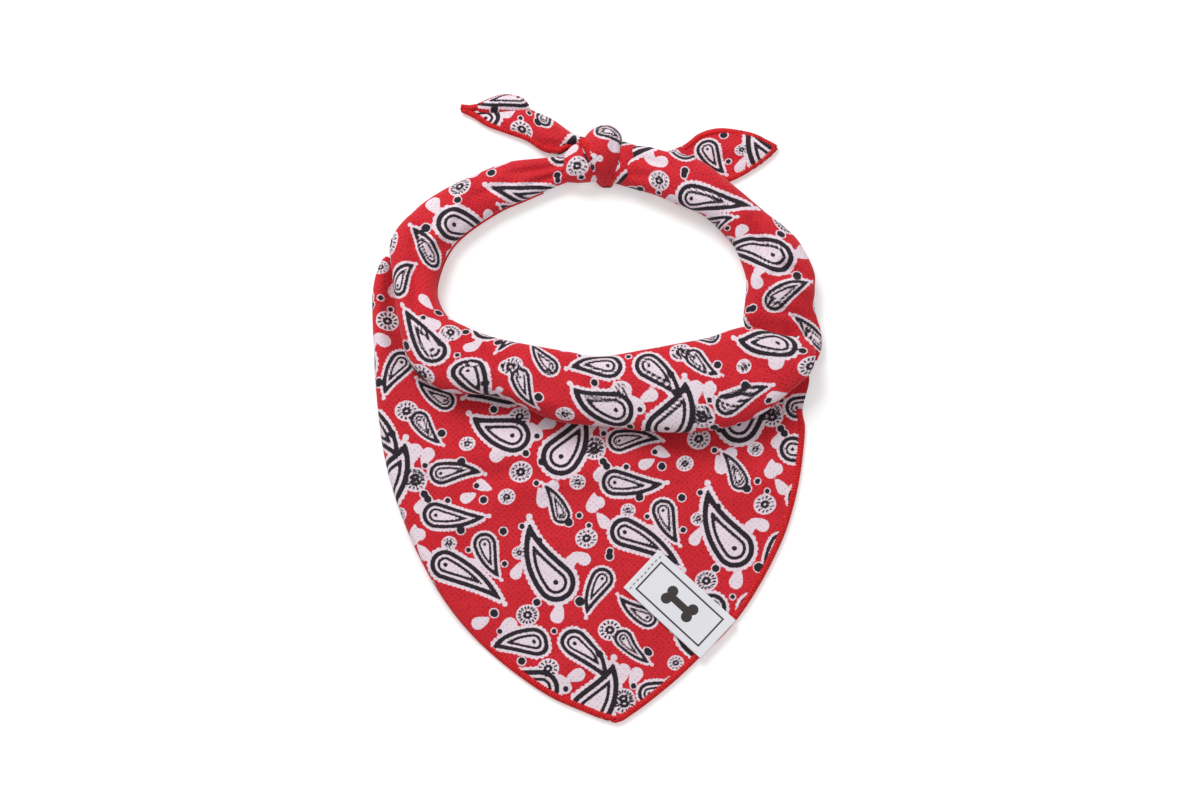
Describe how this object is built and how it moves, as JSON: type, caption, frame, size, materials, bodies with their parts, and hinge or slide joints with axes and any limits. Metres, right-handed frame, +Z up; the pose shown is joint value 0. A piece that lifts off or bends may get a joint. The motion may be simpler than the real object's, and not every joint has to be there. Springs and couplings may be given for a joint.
{
  "type": "tied cooling dog bandana",
  "caption": "Triangular knit dog bandana tied into a neck loop and laid flat, with a rolled neckline, a pointed bib and a knot with two short tails.",
  "frame": {"origin": "on the surface that the bandana lies on, below the middle of its outline", "axes": "+Y from the bib's tip towards the knot, +Z up out of the cloth's printed side, +X to the right seen from above"},
  "size_m": [0.1806, 0.2572, 0.0163],
  "materials": {
    "printed_knit": "matt printed mesh knit, red ground with black and white paisley",
    "overlock_thread": "bright red overlocked edge",
    "woven_label": "white satin woven label"
  },
  "bodies": {
    "root": {"bib_panel": "printed_knit", "bib_underfold": "printed_knit", "neck_roll": "printed_knit", "left_band": "printed_knit", "right_band": "printed_knit", "knot_wrap": "printed_knit", "knot_left": "printed_knit", "knot_right": "printed_knit", "left_tail": "printed_knit", "left_tail_flap": "printed_knit", "right_tail": "printed_knit", "bib_hem_right": "overlock_thread", "bib_hem_left": "overlock_thread", "label": "woven_label"}
  },
  "joints": []
}
